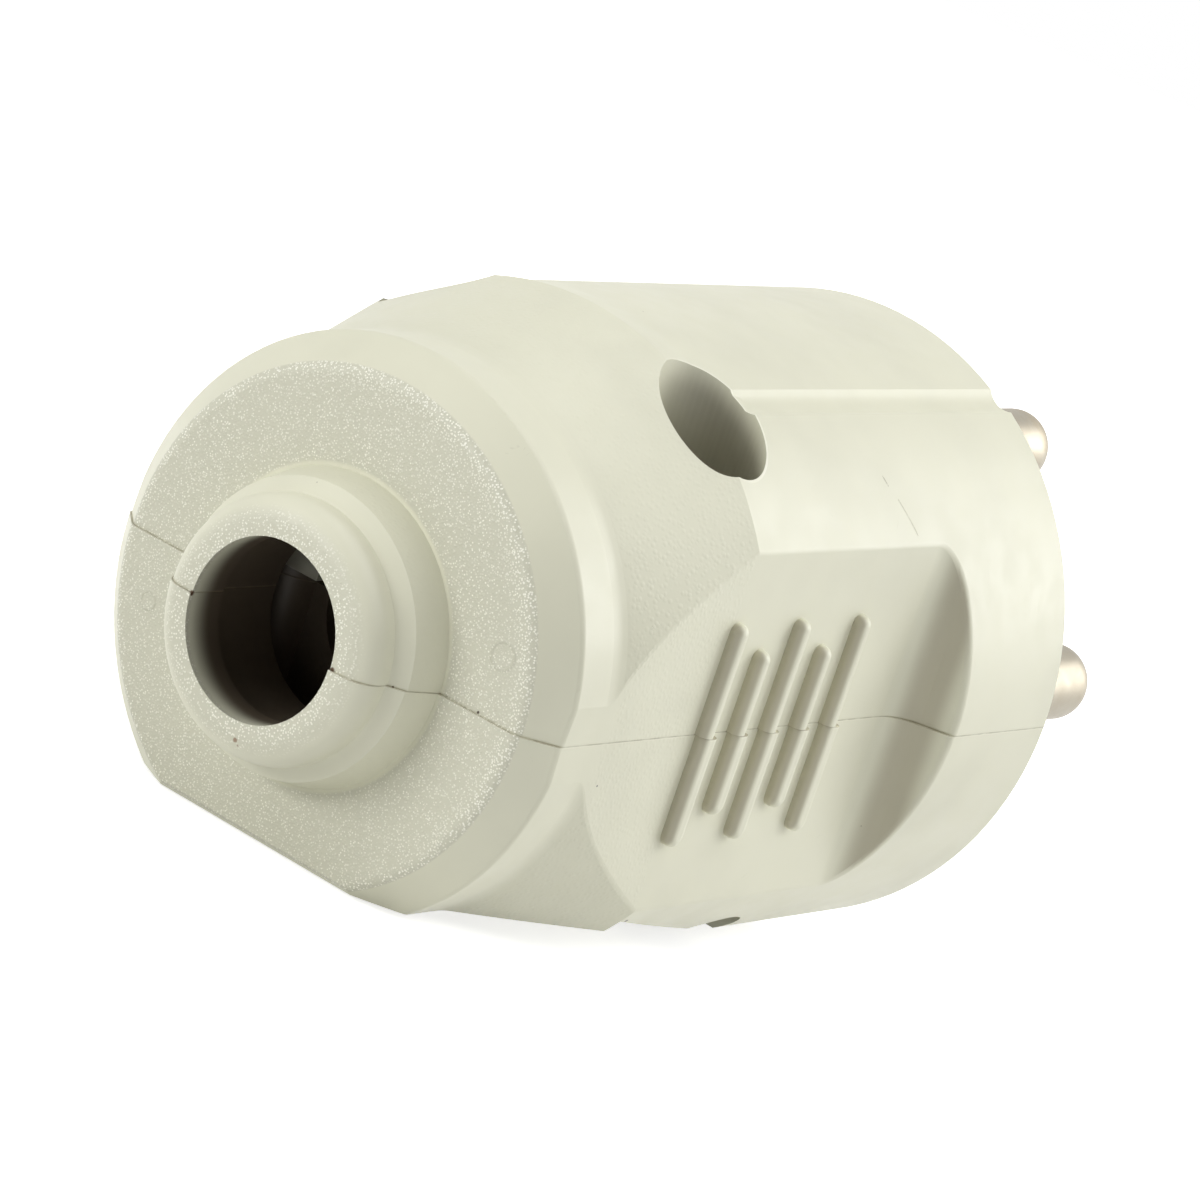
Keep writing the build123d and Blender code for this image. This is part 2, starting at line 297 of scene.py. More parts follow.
    def from_line(self, place: Socket, start: Point, end: Point) -> Socket:
        """Measures the distance from a straight stroke.

        Args:
            place: Place in millimetres.
            start: One end of the stroke.
            end: Its other end.

        Returns:
            The distance in millimetres.
        """
        run = Vector(end) - Vector(start)
        arm = self.vector("SUBTRACT", place, start).outputs["Vector"]
        along = self.vector("DOT_PRODUCT", arm, tuple(run / run.length_squared)).outputs["Value"]
        node = self.put("ShaderNodeClamp")
        self.feed(node.inputs["Value"], along)
        reach = self.put("ShaderNodeVectorMath", operation="SCALE")
        self.feed(reach.inputs[0], tuple(run))
        self.feed(reach.inputs["Scale"], node.outputs["Result"])
        return self.vector("DISTANCE", arm, reach.outputs["Vector"]).outputs["Value"]

    def shared(self, tree: bpy.types.NodeTree, place: Socket, **values: Value) -> bpy.types.Node:
        """Places a shared pattern.

        Args:
            tree: The pattern's node group.
            place: Place in millimetres.
            values: Its other inputs by name, with the first letter made a capital.

        Returns:
            The group node.
        """
        node = self.put("ShaderNodeGroup", node_tree=tree)
        self.feed(node.inputs["Place"], place)
        for name, value in values.items():
            self.feed(node.inputs[name.capitalize()], value)
        return node


class Pattern(Enum):
    """Patterns that more than one finish uses."""

    GRAIN = "moulded_grain"
    SPECKS = "dust_specks"
    SCUFFS = "fine_scuffs"


class Patterns:
    """Makes each shared pattern once, as a node group, and hands it out."""

    def __init__(self) -> None:
        """Builds the groups."""
        self.trees = {
            Pattern.GRAIN: self.grain(),
            Pattern.SPECKS: self.specks(),
            Pattern.SCUFFS: self.scuffs(),
        }

    def __getitem__(self, pattern: Pattern) -> bpy.types.NodeTree:
        """Gives the node group of a pattern."""
        return self.trees[pattern]

    @staticmethod
    def frame_group(
        pattern: Pattern, inputs: Sequence[str], outputs: Sequence[str]
    ) -> tuple[bpy.types.NodeTree, Bench, bpy.types.Node, bpy.types.Node]:
        """Starts a group with its sockets.

        Args:
            pattern: Which pattern it is.
            inputs: Names of the number inputs, after the place.
            outputs: Names of the number outputs.

        Returns:
            The tree, a bench on it, its input node and its output node.
        """
        tree = bpy.data.node_groups.new(pattern.value, "ShaderNodeTree")
        tree.interface.new_socket(name="Place", in_out="INPUT", socket_type="NodeSocketVector")
        for name in inputs:
            tree.interface.new_socket(name=name, in_out="INPUT", socket_type="NodeSocketFloat")
        for name in outputs:
            tree.interface.new_socket(name=name, in_out="OUTPUT", socket_type="NodeSocketFloat")
        bench = Bench(tree)
        return tree, bench, bench.put("NodeGroupInput"), bench.put("NodeGroupOutput")

    def cells(self, bench: Bench, place: Value, size: Value) -> tuple[Socket, Socket, Socket]:
        """Divides space in irregular cells.

        Args:
            bench: Bench to work on.
            place: Place in millimetres.
            size: Size of a cell in millimetres.

        Returns:
            Distance from the cell's middle as a share of the size, and two chances of the cell.
        """
        node = bench.put("ShaderNodeTexVoronoi", feature="F1")
        bench.feed(node.inputs["Vector"], place)
        bench.feed(node.inputs["Scale"], bench.math("DIVIDE", 1.0, size))
        chances = bench.put("ShaderNodeSeparateColor")
        bench.feed(chances.inputs["Color"], node.outputs["Color"])
        return node.outputs["Distance"], chances.outputs["Red"], chances.outputs["Green"]

    def grain(self) -> bpy.types.NodeTree:
        """Makes spark-eroded grain: small rounded bumps, and a mask of painted glints on some of
        them.

        Returns:
            The group, with the size of a bump as its input.
        """
        tree, bench, given, result = self.frame_group(Pattern.GRAIN, ["Size"], ["Height", "Glint"])
        place, size = given.outputs["Place"], given.outputs["Size"]
        distance, chance, other = self.cells(bench, place, size)
        uneven = bench.slope(other, 0.0, 1.0, 0.55, 1.0)
        bump = bench.times(bench.fall(distance, 0.05, 0.62), uneven)
        glint = bench.times(bench.fall(distance, 0.2, 0.5), bench.rise(chance, 0.1, 0.6))
        bench.feed(result.inputs["Height"], bump)
        bench.feed(result.inputs["Glint"], glint)
        return tree

    def specks(self) -> bpy.types.NodeTree:
        """Makes rare dust specks of uneven size.

        Returns:
            The group, with spacing, radius and share of the cells that hold a speck.
        """
        tree, bench, given, result = self.frame_group(
            Pattern.SPECKS, ["Spacing", "Radius", "Share"], ["Mask"]
        )
        spacing = given.outputs["Spacing"]
        distance, chance, other = self.cells(bench, given.outputs["Place"], spacing)
        span = bench.times(distance, spacing)
        radius = bench.times(given.outputs["Radius"], bench.slope(other, 0.0, 1.0, 0.4, 1.3))
        spot = bench.fall(bench.math("DIVIDE", span, radius), 0.5, 1.1)
        kept = bench.math("LESS_THAN", chance, given.outputs["Share"])
        bench.feed(result.inputs["Mask"], bench.times(spot, kept))
        return tree

    def scuffs(self) -> bpy.types.NodeTree:
        """Makes faint handling scuffs, drawn out one way and broken up.

        Returns:
            The group, with the width of a scuff as its input.
        """
        tree, bench, given, result = self.frame_group(Pattern.SCUFFS, ["Width"], ["Mask"])
        place = given.outputs["Place"]
        turned = bench.put("ShaderNodeVectorRotate", rotation_type="AXIS_ANGLE")
        bench.feed(turned.inputs["Vector"], place)
        bench.feed(turned.inputs["Axis"], (1.0, 0.4, 0.3))
        bench.feed(turned.inputs["Angle"], bench.times(bench.noise(place, scale=0.12), 2.4))
        stretched = bench.vector("MULTIPLY", turned.outputs["Vector"], (0.06, 1.0, 1.0))
        width = given.outputs["Width"]
        distance, chance, _ = self.cells(bench, stretched.outputs["Vector"], width)
        line = bench.times(bench.fall(distance, 0.02, 0.14), bench.math("LESS_THAN", chance, 0.16))
        patch = bench.rise(bench.noise(place, scale=0.35), 0.42, 0.62)
        bench.feed(result.inputs["Mask"], bench.times(line, patch))
        return tree


@dataclass(frozen=True)
class Mark:
    """One spot of dirt or damage at a place on the plug."""

    place: Point
    radius: float
    levels: Levels
    strength: float = 1.0


@dataclass(frozen=True)
class Stroke:
    """One straight scratch."""

    start: Point
    end: Point
    width: float
    strength: float


@dataclass(frozen=True)
class Ring:
    """One round mark that an ejector or an insert of the mould left."""

    place: Point
    radius: float


@dataclass(frozen=True)
class Tint:
    """A colour, and its share where it lies over what is under it."""

    levels: Levels
    strength: float = 1.0


@dataclass
class Surface:
    """Colour and relief of a finish while it is put together."""

    bench: Bench
    colour: Value
    height: Value = 0.0

    def tint(self, mask: Value, tint: Tint) -> None:
        """Lays a colour over a mask.

        Args:
            mask: Where it goes, from 0 to 1.
            tint: The colour, with its share where the mask is 1.
        """
        share = self.bench.times(mask, tint.strength)
        self.colour = self.bench.mix(share, self.colour, from_srgb(tint.levels))

    def lift(self, mask: Value, height: Value) -> None:
        """Raises the relief over a mask, or lowers it.

        Args:
            mask: Where it rises, from 0 to 1.
            height: The rise where the mask is 1, in millimetres.
        """
        self.height = self.bench.math("MULTIPLY_ADD", mask, height, self.height)


@dataclass(frozen=True)
class Finish:
    """What every finish has: a name, a colour and a roughness."""

    name: str
    levels: Levels
    roughness: float

    def start(self) -> tuple[bpy.types.Material, Bench, bpy.types.Node, Socket]:
        """Starts the material.

        Returns:
            The material, a bench on it, its shader and the place in millimetres.
        """
        material = bpy.data.materials.new(self.name)
        material.use_nodes = True
        bench = Bench(material.node_tree)
        shader = material.node_tree.nodes["Principled BSDF"]
        where = bench.put("ShaderNodeTexCoord").outputs["Object"]
        turn = bench.put("ShaderNodeMapping", vector_type="POINT")
        bench.feed(turn.inputs["Vector"], where)
        turn.inputs["Rotation"].default_value = (0.0, LIE, 0.0)
        turn.inputs["Scale"].default_value = (1 / MM, 1 / MM, 1 / MM)
        return material, bench, shader, turn.outputs["Vector"]

    def clouded(self, bench: Bench, patch: Socket, fading: int) -> Socket:
        """Gives the plain colour, darker in soft patches.

        Args:
            bench: Bench of the material.
            patch: Soft noise.
            fading: Levels by which the patches are darker.

        Returns:
            The colour.
        """
        darker = tuple(level - fading for level in self.levels)
        return bench.mix(bench.rise(patch, 0.35, 0.7), from_srgb(self.levels), from_srgb(darker))

    def complete(self, surface: Surface, shader: bpy.types.Node, gloss: Socket) -> None:
        """Gives the shader its colour, roughness and relief.

        Args:
            surface: The finished surface.
            shader: The material's shader.
            gloss: Its roughness.
        """
        bench = surface.bench
        bump = bench.put("ShaderNodeBump")
        bump.inputs["Distance"].default_value = MM
        bench.feed(bump.inputs["Height"], surface.height)
        bench.feed(shader.inputs["Normal"], bump.outputs["Normal"])
        bench.feed(shader.inputs["Base Color"], surface.colour)
        bench.feed(shader.inputs["Roughness"], gloss)


@dataclass(frozen=True)
class Spot:
    """Where a shaded point lies on the plug, as sockets in millimetres."""

    place: Socket
    along: Socket
    side: Socket
    up: Socket
    rear: Socket
    radius: Socket


@dataclass(frozen=True)
class Cavity:
    """Painted shade inside the casing, in its rear screw wells and in the cord entry."""

    chamber_start: Span = (2.3, 2.5)
    chamber_end: float = 42.55
    chamber_side: float = 13.75
    chamber_floor: float = -10.45
    cone_start: float = 5.2
    cone_radius: float = 13.9
    cone_spread: float = 0.337
    barrel_radius: float = 16.95
    boss_edge: Span = (3.55, 3.6)
    entry_start: Span = (-4.85, -3.0)
    entry_end: float = 4.0
    entry_edge: Span = (5.45, 5.6)
    well_edge: Span = (3.5, 3.54)
    well_floor: Span = (5.9, 6.1)
    deep_fade: Span = (9.5, 17.5)
    deep_share: float = 0.65
    front_rise: Span = (-1.5, 3.4)
    front_fade: Span = (17.4, 19.2)
    front_share: float = 0.62

    def mask(self, bench: Bench, spot: Spot) -> Socket:
        """Masks the places that get painted shade.

        Args:
            bench: Bench of the material.
            spot: Where the shaded point lies.

        Returns:
            The mask, which fades towards the mouths of the wells.
        """
        past = bench.math("MAXIMUM", bench.math("SUBTRACT", spot.rear, self.cone_start), 0.0)
        wall = bench.math("MULTIPLY_ADD", past, self.cone_spread, self.cone_radius)
        # Painted shade in the chamber, apart from the screw bosses
        dust_and_shade = bench.times(
            bench.rise(spot.rear, *self.chamber_start),
            bench.math("LESS_THAN", spot.rear, self.chamber_end),
            bench.math("LESS_THAN", spot.radius, bench.math("MINIMUM", wall, self.barrel_radius)),
            bench.math("LESS_THAN", bench.math("ABSOLUTE", spot.side), self.chamber_side),
            bench.math("GREATER_THAN", spot.up, self.chamber_floor),
        )
        for well in REAR_WELLS + FRONT_WELLS:
            away = bench.from_upright(spot.place, well)
            dust_and_shade = bench.times(dust_and_shade, bench.rise(away, *self.boss_edge))
        # In the rear wells the painted shade grows stronger deeper down and on their front walls
        above = bench.rise(spot.up, *self.well_floor)
        deep = bench.times(bench.fall(spot.radius, *self.deep_fade), self.deep_share)
        for well in REAR_WELLS:
            ahead = bench.math("SUBTRACT", spot.along, well[0])
            front = bench.times(
                bench.rise(ahead, *self.front_rise),
                bench.fall(spot.radius, *self.front_fade),
                self.front_share,
            )
            inner = bench.fall(bench.from_upright(spot.place, well), *self.well_edge)
            dust_and_shade = bench.most(dust_and_shade, bench.times(inner, above, bench.most(deep, front)))
        entry = bench.times(
            bench.rise(spot.rear, *self.entry_start),
            bench.math("LESS_THAN", spot.rear, self.entry_end),
            bench.fall(spot.radius, *self.entry_edge),
        )
        return bench.most(dust_and_shade, entry)


@dataclass(frozen=True)
class CasingPlastic(Finish):
    """Warm grey-ivory moulding, grained at the rear and satin elsewhere."""

    shade: Tint = Tint((200, 199, 179), 0.3)
    ground: Tint = Tint((200, 199, 180), 0.85)
    # Colour of the painted glints and of the painted highlight band
    glint: Tint = Tint((255, 254, 240))
    # Painted highlight on the front of each rear well's rim
    painted_lip_highlight: Tint = Tint((255, 254, 240), 0.4)
    # Painted shade on the rib flanks and scoop walls that look to the rear
    painted_shade: Tint = Tint((138, 126, 102), 0.5)
    # Painted shade inside the chamber, the rear screw wells and the cord entry
    painted_inner_shade: Tint = Tint((66, 48, 34), 0.92)
    seam: Tint = Tint((134, 123, 98), 0.65)
    dust_and_shade: Tint = Tint((96, 88, 70), 0.5)
    scuffed: Tint = Tint((150, 144, 120), 0.14)
    ringed: Tint = Tint((150, 147, 124), 0.12)
    scratched: Levels = (158, 152, 122)
    rear_x: float = -46.5
    mismatch: float = 0.15
    neck_length: float = 5.0
    neck_radius: float = 8.75
    face_round: float = 0.24
    nose_fade: Span = (5.8, 7.2)
    cone_start: Span = (5.4, 6.4)
    cone_end: Span = (14.0, 14.5)
    root_start: Span = (-2.3, -1.9)
    root_floor: Span = (8.0, 8.1)
    root_top: Span = (8.75, 8.8)
    flank_start: Span = (9.0, 14.0)
    flank_end: Span = (37.5, 38.5)
    flank_floor: Span = (15.7, 15.76)
    flank_top: Span = (17.6, 18.6)
    flank_facing: Span = (-0.75, -0.3)
    border: Span = (12.4, 13.8)
    border_lit: Span = (0.0, 14.0)
    border_tilt: float = 1.3
    grain_size: float = 0.145
    grain_height: float = 0.022
    leather_size: float = 0.3
    leather_height: float = 0.014
    wave_height: float = 0.0018
    mouth_radius: float = 3.57
    mouth_level: Span = (12.0, 12.4)
    mouth_front: Span = (-1.5, 2.0)
    seam_half: float = 0.035
    seam_depth: float = 0.015
    scratch_depth: float = 0.02
    ring_height: float = 0.03
    cavity: Cavity = Cavity()
    marks: tuple[Mark, ...] = ()
    strokes: tuple[Stroke, ...] = ()
    rings: tuple[Ring, ...] = ()

    def build(self, patterns: Patterns) -> bpy.types.Material:
        """Builds the material.

        Args:
            patterns: The shared patterns.

        Returns:
            The material.
        """
        material, bench, shader, place = self.start()
        spot = self.locate(bench, place)
        coarse = self.coarse(bench, spot)
        patch = bench.noise(place, scale=0.09, detail=3.0, rough=0.55)
        cloud = bench.noise(place, scale=0.6, detail=3.0, rough=0.6)
        scuffs = bench.shared(patterns[Pattern.SCUFFS], place, width=0.5).outputs["Mask"]
        specks = bench.shared(patterns[Pattern.SPECKS], place, spacing=2.6, radius=0.055, share=0.3)

        surface = Surface(bench, from_srgb(self.levels))
        surface.tint(bench.rise(patch, 0.35, 0.7), self.shade)
        surface.tint(coarse, self.ground)
        # Painted glints on the coarse grain, and a painted highlight band on its upper border
        self.add_grain(surface, spot, patterns, coarse, cloud)
        # Painted shade inside the chamber, the rear screw wells and the cord entry
        surface.tint(self.cavity.mask(bench, spot), self.painted_inner_shade)
        # Painted highlight on the front of each rear well's rim
        self.add_mouths(surface, spot)
        surface.tint(specks.outputs["Mask"], self.dust_and_shade)
        surface.tint(scuffs, self.scuffed)
        # Painted shade on the rib flanks and scoop walls that look to the rear
        surface.tint(self.flank(bench, spot), self.painted_shade)
        self.add_seam(surface, spot, coarse)
        self.add_damage(surface, spot)

        gloss = bench.slope(cloud, 0.3, 0.7, self.roughness - 0.04, self.roughness + 0.05)
        gloss = bench.math("MULTIPLY_ADD", coarse, 0.06, gloss)
        gloss = bench.math("MULTIPLY_ADD", scuffs, 0.15, gloss)
        self.complete(surface, shader, gloss)
        return material

    def locate(self, bench: Bench, place: Socket) -> Spot:
        """Works out where the shaded point lies on the casing.

        Args:
            bench: Bench of the material.
            place: Place in millimetres.

        Returns:
            The place, with its distances from the rear face and from the plug's axis.
        """
        along, side, up = bench.split(place)
        flat = bench.vector("MULTIPLY", place, (0.0, 1.0, 1.0)).outputs["Vector"]
        radius = bench.vector("LENGTH", flat).outputs["Value"]
        lower = bench.fall(up, -0.01, 0.01)
        shifted = bench.math("MULTIPLY_ADD", lower, self.mismatch, along)
        rear = bench.math("SUBTRACT", shifted, self.rear_x)
        return Spot(place, along, side, up, rear, radius)

    def coarse(self, bench: Bench, spot: Spot) -> Socket:
        """Masks the coarse grain of the rear face and of the neck's end.

        Args:
            bench: Bench of the material.
            spot: Where the shaded point lies.

        Returns:
            The mask.
        """
        face = bench.times(
            bench.fall(spot.rear, self.face_round - 0.06, self.face_round + 0.06),
            bench.rise(spot.radius, self.neck_radius, self.neck_radius + 0.25),
        )
        nose = bench.times(
            bench.fall(spot.rear, 0.1 - self.neck_length, 0.5 - self.neck_length),
            bench.slope(spot.radius, *self.nose_fade, 0.85, 0.0),
        )
        return bench.most(face, nose)

    def leather(self, bench: Bench, spot: Spot) -> Socket:
        """Masks the leathery grain of the cone and of the neck's root.

        Args:
            bench: Bench of the material.
            spot: Where the shaded point lies.

        Returns:
            The mask.
        """
        cone = bench.times(
            bench.rise(spot.rear, *self.cone_start), bench.fall(spot.rear, *self.cone_end)
        )
        root = bench.times(
            bench.rise(spot.rear, *self.root_start),
            bench.rise(spot.radius, *self.root_floor),
            bench.fall(spot.radius, *self.root_top),
        )
        return bench.most(cone, root)

    def flank(self, bench: Bench, spot: Spot) -> Socket:
        """Masks the rib flanks and scoop walls that look to the rear, which get painted shade.

        Args:
            bench: Bench of the material.
            spot: Where the shaded point lies.

        Returns:
            The mask.
        """
        facing, _, _ = bench.split(bench.put("ShaderNodeTexCoord").outputs["Normal"])
        across = bench.math("ABSOLUTE", spot.side)
        return bench.times(
            bench.rise(spot.rear, *self.flank_start),
            bench.fall(spot.rear, *self.flank_end),
            bench.rise(across, *self.flank_floor),
            bench.fall(across, *self.flank_top),
            bench.fall(facing, *self.flank_facing),
        )

    def add_grain(
        self, surface: Surface, spot: Spot, patterns: Patterns, coarse: Socket, cloud: Socket
    ) -> None:
        """Adds the relief of both grains, and the painted glints on the coarse one.

        Args:
            surface: Surface to work on.
            spot: Where the shaded point lies.
            patterns: The shared patterns.
            coarse: Mask of the coarse grain.
            cloud: Soft noise that thins the glints out.
        """
        bench = surface.bench
        grain = bench.shared(patterns[Pattern.GRAIN], spot.place, size=self.grain_size)
        fine = bench.shared(patterns[Pattern.GRAIN], spot.place, size=self.leather_size)
        border = bench.rise(spot.radius, *self.border)
        dense = bench.most(bench.slope(cloud, 0.3, 0.7, 0.7, 1.0), border)
        # A painted highlight band along the upper border of the rear face, on its side towards -Y
        tilted = bench.math("MULTIPLY_ADD", spot.side, -self.border_tilt, spot.up)
        band = bench.times(
            border,
            coarse,
            bench.rise(tilted, *self.border_lit),
            bench.rise(grain.outputs["Height"], 0.1, 0.6),
            0.9,
        )
        lit = bench.most(bench.times(grain.outputs["Glint"], coarse, dense), band)
        surface.tint(lit, self.glint)
        surface.lift(bench.times(grain.outputs["Height"], coarse), self.grain_height)
        leather = bench.times(fine.outputs["Height"], self.leather(bench, spot))
        surface.lift(leather, self.leather_height)
        surface.lift(bench.noise(spot.place, scale=3.2), self.wave_height)

    def add_mouths(self, surface: Surface, spot: Spot) -> None:
        """Paints a highlight on the front of the thin rim round each rear screw well.

        Args:
            surface: Surface to work on.
            spot: Where the shaded point lies.
        """
        bench = surface.bench
        for well in REAR_WELLS:
            off = bench.off(bench.from_upright(spot.place, well), self.mouth_radius)
            ahead = bench.math("SUBTRACT", spot.along, well[0])
            painted_lip_highlight = bench.times(
                bench.fall(off, 0.03, 0.08),
                bench.rise(spot.up, *self.mouth_level),
                bench.rise(ahead, *self.mouth_front),
            )
            surface.tint(painted_lip_highlight, self.painted_lip_highlight)

    def add_seam(self, surface: Surface, spot: Spot, coarse: Socket) -> None:
        """Draws the parting line, uneven and weaker on the coarse grain.

        Args:
            surface: Surface to work on.
            spot: Where the shaded point lies.
            coarse: Mask of the coarse grain.
        """
        bench = surface.bench
        off = bench.math("ABSOLUTE", spot.up)
        line = bench.times(
            bench.fall(off, self.seam_half * 0.4, self.seam_half * 1.3),
            bench.slope(bench.noise(spot.place, scale=0.9), 0.35, 0.65, 0.45, 1.0),
            bench.math("MULTIPLY_ADD", coarse, -0.45, 1.0),
        )
        surface.tint(line, self.seam)
        surface.lift(bench.fall(off, 0.0, 0.1), -self.seam_depth)

    def add_damage(self, surface: Surface, spot: Spot) -> None:
        """Adds the spots of dirt, the scratches and the mould's round marks.

        Args:
            surface: Surface to work on.
            spot: Where the shaded point lies.
        """
        bench = surface.bench
        uneven = bench.noise(spot.place, scale=5.0)
        for mark in self.marks:
            away = bench.away(spot.place, mark.place)
            wander = bench.math("MULTIPLY_ADD", uneven, mark.radius, away)
            stain = bench.fall(wander, mark.radius * 0.9, mark.radius * 1.5)
            surface.tint(stain, Tint(mark.levels, mark.strength))
        broken = bench.rise(uneven, 0.3, 0.55)
        for stroke in self.strokes:
            off = bench.from_line(spot.place, stroke.start, stroke.end)
            line = bench.times(bench.fall(off, stroke.width * 0.3, stroke.width), broken)
            surface.tint(line, Tint(self.scratched, stroke.strength))
            surface.lift(line, -self.scratch_depth)
        for ring in self.rings:
            off = bench.off(bench.away(spot.place, ring.place), ring.radius)
            edge = bench.fall(off, 0.03, 0.12)
            surface.tint(edge, self.ringed)
            surface.lift(edge, self.ring_height)


@dataclass(frozen=True)
class ClampPlastic(Finish):
    """Plain moulded plastic of the cord clamp."""

    dust_and_shade: Tint = Tint((92, 84, 68), 0.7)
    fading: int = 22
    grain_size: float = 0.3
    grain_height: float = 0.008

    def build(self, patterns: Patterns) -> bpy.types.Material:
        """Builds the material.

        Args:
            patterns: The shared patterns.

        Returns:
            The material.
        """
        material, bench, shader, place = self.start()
        grain = bench.shared(patterns[Pattern.GRAIN], place, size=self.grain_size)
        specks = bench.shared(patterns[Pattern.SPECKS], place, spacing=1.8, radius=0.06, share=0.35)
        patch = bench.noise(place, scale=0.3, detail=3.0)
        surface = Surface(bench, self.clouded(bench, patch, self.fading))
        surface.tint(specks.outputs["Mask"], self.dust_and_shade)
        surface.lift(grain.outputs["Height"], self.grain_height)
        gloss = bench.slope(patch, 0.3, 0.7, self.roughness, self.roughness + 0.1)
        self.complete(surface, shader, gloss)
        return material


@dataclass(frozen=True)
class PlatedBrass(Finish):
    """Nickel plating on turned brass, with tool rings round each pin and wear at the tips."""

    worn: Tint = Tint((156, 144, 120), 0.45)
    dust_and_shade: Tint = Tint((120, 104, 80), 0.6)
    bright: Tint = Tint((236, 228, 208), 0.3)
    worn_tip: Span = (15.5, 21.5)
    ring_pitch: float = 0.16
    ring_height: float = 0.0012
    scuff_depth: float = 0.003

    def build(self, patterns: Patterns) -> bpy.types.Material:
        """Builds the material.

        Args:
            patterns: The shared patterns.

        Returns:
            The material.
        """
        material, bench, shader, place = self.start()
        shader.inputs["Metallic"].default_value = 1.0
        along, _, _ = bench.split(place)
        uneven = bench.noise(place, scale=1.5)
        wander = bench.math("MULTIPLY_ADD", uneven, self.ring_pitch, along)
        rings = bench.math("SINE", bench.times(wander, 2 * math.pi / self.ring_pitch))
        scuffs = bench.shared(patterns[Pattern.SCUFFS], place, width=0.3).outputs["Mask"]
        specks = bench.shared(patterns[Pattern.SPECKS], place, spacing=1.6, radius=0.05, share=0.3)
        patch = bench.noise(place, scale=0.5, detail=3.0, rough=0.6)
        tip = bench.times(bench.rise(along, *self.worn_tip), bench.rise(patch, 0.4, 0.65))
        surface = Surface(bench, from_srgb(self.levels))
        surface.tint(tip, self.worn)
        surface.tint(specks.outputs["Mask"], self.dust_and_shade)
        surface.tint(scuffs, self.bright)
        surface.lift(rings, self.ring_height)
        surface.lift(scuffs, -self.scuff_depth)
        gloss = bench.slope(patch, 0.3, 0.7, self.roughness - 0.05, self.roughness + 0.09)
        gloss = bench.math("MULTIPLY_ADD", scuffs, 0.2, gloss)
        self.complete(surface, shader, gloss)
        return material


@dataclass(frozen=True)
class PlatedSteel(Finish):
    """Zinc plating on steel, clouded, with a little dirt in its corners."""

    dust_and_shade: Tint = Tint((96, 86, 74), 0.7)
    fading: int = 30
    wave_height: float = 0.004
    scuff_depth: float = 0.004

    def build(self, patterns: Patterns) -> bpy.types.Material:
        """Builds the material.

        Args:
            patterns: The shared patterns.

        Returns:
            The material.
        """
        material, bench, shader, place = self.start()
        shader.inputs["Metallic"].default_value = 1.0
        patch = bench.noise(place, scale=1.2, detail=3.0, rough=0.6)
        scuffs = bench.shared(patterns[Pattern.SCUFFS], place, width=0.25).outputs["Mask"]
        specks = bench.shared(patterns[Pattern.SPECKS], place, spacing=1.1, radius=0.06, share=0.4)
        surface = Surface(bench, self.clouded(bench, patch, self.fading))
        surface.tint(specks.outputs["Mask"], self.dust_and_shade)
        surface.lift(patch, self.wave_height)
        surface.lift(scuffs, -self.scuff_depth)
        gloss = bench.slope(patch, 0.3, 0.7, self.roughness - 0.06, self.roughness + 0.1)
        self.complete(surface, shader, gloss)
        return material


@dataclass
class Casing:
    """The two moulded halves, with the marks that use left on them."""

    nodes: tuple[str, ...] = ("upper_shell", "lower_shell")
    finish: CasingPlastic = field(
        default_factory=lambda: CasingPlastic(
            "casing_ivory",
            (225, 224, 202),
            0.42,
            marks=(
                Mark((-40.16, -15.75, -2.51), 0.07, (52, 48, 40)),
                Mark((-51.61, -0.68, -6.0), 0.2, (136, 100, 72), 0.8),
                Mark((-51.6, -0.9, -6.25), 0.12, (136, 100, 72), 0.7),
                Mark((-31.66, -15.08, -11.56), 0.16, (60, 56, 48)),
                Mark((-46.5, -11.31, 0.12), 0.1, (70, 60, 44)),
                Mark((-51.5, -5.13, 0.03), 0.2, (88, 66, 44)),
                Mark((-51.5, 5.02, -0.02), 0.2, (88, 66, 44)),
                Mark((-49.2, -7.54, 0.02), 0.1, (92, 74, 52)),
            ),
            strokes=(
                Stroke((-16.9, -14.1, 12.74), (-15.8, -15.4, 11.12), 0.07, 0.4),
                Stroke((-17.7, -13.1, 13.76), (-17.5, -13.5, 13.37), 0.08, 0.7),
            ),
            rings=(
                Ring((-46.65, 11.34, -3.38), 0.5),
                Ring((-46.5, -11.66, 3.5), 0.75),
            ),
        )
    )

    def dress(self, patterns: Patterns) -> None:
        """Gives both halves their finish.

        Args:
            patterns: The shared patterns.
        """
        coat(self.nodes, self.finish.build(patterns))


@dataclass
class Metalwork:
    """Pins, clamp plates, screws and nuts."""

    pins: tuple[str, ...] = ("live_pin", "neutral_pin", "earth_pin")
    fastener_words: tuple[str, ...] = ("screw", "nut", "plate")
    pin_finish: PlatedBrass = field(
        default_factory=lambda: PlatedBrass("nickel_plated_brass", (160, 153, 138), 0.42)
    )
    steel_finish: PlatedSteel = field(
        default_factory=lambda: PlatedSteel("zinc_plated_steel", (206, 206, 208), 0.34)
    )

    def dress(self, patterns: Patterns) -> None:
        """Gives the pins and the fasteners their finishes.

        Args:
            patterns: The shared patterns.
        """
        coat(self.pins, self.pin_finish.build(patterns))
        fasteners = [name for name in frame["nodes"] if name.endswith(self.fastener_words)]
        coat(fasteners, self.steel_finish.build(patterns))


@dataclass
class CordClamp:
    """Arched bar that holds the cord."""

    nodes: tuple[str, ...] = ("cord_clamp",)
    finish: ClampPlastic = field(
        default_factory=lambda: ClampPlastic("clamp_grey", (204, 202, 186), 0.46)
    )

    def dress(self, patterns: Patterns) -> None:
        """Gives the clamp its finish.

        Args:
            patterns: The shared patterns.
        """
        coat(self.nodes, self.finish.build(patterns))


def coat(names: Sequence[str], material: bpy.types.Material) -> None:
    """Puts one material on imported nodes.

    Args:
        names: Nodes to coat.
        material: The material.
    """
    for name in names:
        mesh = frame["nodes"][name].data
        mesh.materials.clear()
        mesh.materials.append(material)
    log.info("%s: %s", material.name, ", ".join(names))


